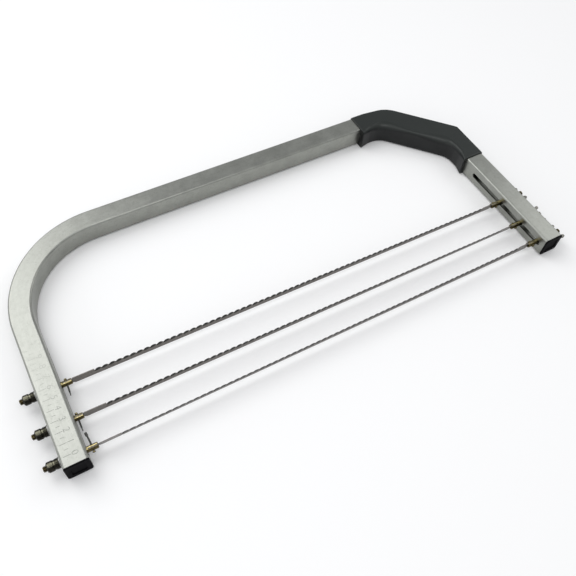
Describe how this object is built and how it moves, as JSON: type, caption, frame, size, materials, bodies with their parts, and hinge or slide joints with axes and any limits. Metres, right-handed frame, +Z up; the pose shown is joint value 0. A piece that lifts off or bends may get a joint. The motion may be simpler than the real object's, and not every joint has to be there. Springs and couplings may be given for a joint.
{
  "type": "three-blade bow slicer",
  "caption": "Bent square-tube bow with a moulded corner grip and serrated strip blades held by slotted studs that slide in both legs against a centimetre scale.",
  "frame": {"origin": "centre of the bounding box, on the lowest face of the tool lying on its side", "axes": "+X along the blades from the scale leg to the gripped side, +Y from the feet to the back bar, +Z up"},
  "size_m": [0.517, 0.2322, 0.0226],
  "materials": {
    "frame_steel": "satin",
    "grip_rubber": "matte moulded",
    "plug_plastic": "matte",
    "blade_steel": "ground",
    "rod_brass": "turned",
    "pin_steel": "drawn wire",
    "washer_steel": "zinc plated",
    "nut_gunmetal": "black oxide",
    "wing_zinc": "zinc plated"
  },
  "bodies": {
    "bow": {"bow_frame": "frame_steel", "handle_grip": "grip_rubber", "left_end_plug": "plug_plastic", "right_end_plug": "plug_plastic"},
    "back_carriage": {"back_blade": "blade_steel", "back_left_rod": "rod_brass", "back_right_rod": "rod_brass", "back_left_pin": "pin_steel", "back_right_pin": "rod_brass", "back_left_washer": "washer_steel", "back_right_washer": "washer_steel"},
    "back_left_nut": {"back_thumb_nut": "nut_gunmetal"},
    "back_right_nut": {"back_wing_nut": "wing_zinc"},
    "middle_carriage": {"middle_blade": "blade_steel", "middle_left_rod": "rod_brass", "middle_right_rod": "rod_brass", "middle_left_pin": "pin_steel", "middle_right_pin": "rod_brass", "middle_left_washer": "washer_steel", "middle_right_washer": "washer_steel"},
    "middle_left_nut": {"middle_thumb_nut": "nut_gunmetal"},
    "middle_right_nut": {"middle_wing_nut": "wing_zinc"},
    "front_carriage": {"front_blade": "blade_steel", "front_left_rod": "rod_brass", "front_right_rod": "rod_brass", "front_left_pin": "pin_steel", "front_right_pin": "rod_brass", "front_left_washer": "washer_steel", "front_right_washer": "washer_steel"},
    "front_left_nut": {"front_thumb_nut": "nut_gunmetal"},
    "front_right_nut": {"front_wing_nut": "wing_zinc"}
  },
  "joints": [
    {"name": "back_blade_slide", "type": "slide", "parent": "bow", "child": "back_carriage", "axis": [0, 1, 0], "range_m": [-0.005, 0.0355]},
    {"name": "back_thumb_nut_turn", "type": "hinge", "parent": "back_carriage", "child": "back_left_nut", "pos_m": [-0.2509, -0.04355, 0.0113], "axis": [1, 0, 0], "continuous": true},
    {"name": "back_wing_nut_turn", "type": "hinge", "parent": "back_carriage", "child": "back_right_nut", "pos_m": [0.253, -0.04915, 0.0113], "axis": [1, 0, 0], "continuous": true},
    {"name": "middle_blade_slide", "type": "slide", "parent": "bow", "child": "middle_carriage", "axis": [0, 1, 0], "range_m": [-0.0045, 0.009]},
    {"name": "middle_thumb_nut_turn", "type": "hinge", "parent": "middle_carriage", "child": "middle_left_nut", "pos_m": [-0.2509, -0.07615, 0.0113], "axis": [1, 0, 0], "continuous": true},
    {"name": "middle_wing_nut_turn", "type": "hinge", "parent": "middle_carriage", "child": "middle_right_nut", "pos_m": [0.253, -0.07975, 0.0113], "axis": [1, 0, 0], "continuous": true},
    {"name": "front_blade_slide", "type": "slide", "parent": "bow", "child": "front_carriage", "axis": [0, 1, 0], "range_m": [-0.0015, 0.006]},
    {"name": "front_thumb_nut_turn", "type": "hinge", "parent": "front_carriage", "child": "front_left_nut", "pos_m": [-0.2509, -0.10445, 0.0113], "axis": [1, 0, 0], "continuous": true},
    {"name": "front_wing_nut_turn", "type": "hinge", "parent": "front_carriage", "child": "front_right_nut", "pos_m": [0.253, -0.10535, 0.0113], "axis": [1, 0, 0], "continuous": true}
  ]
}
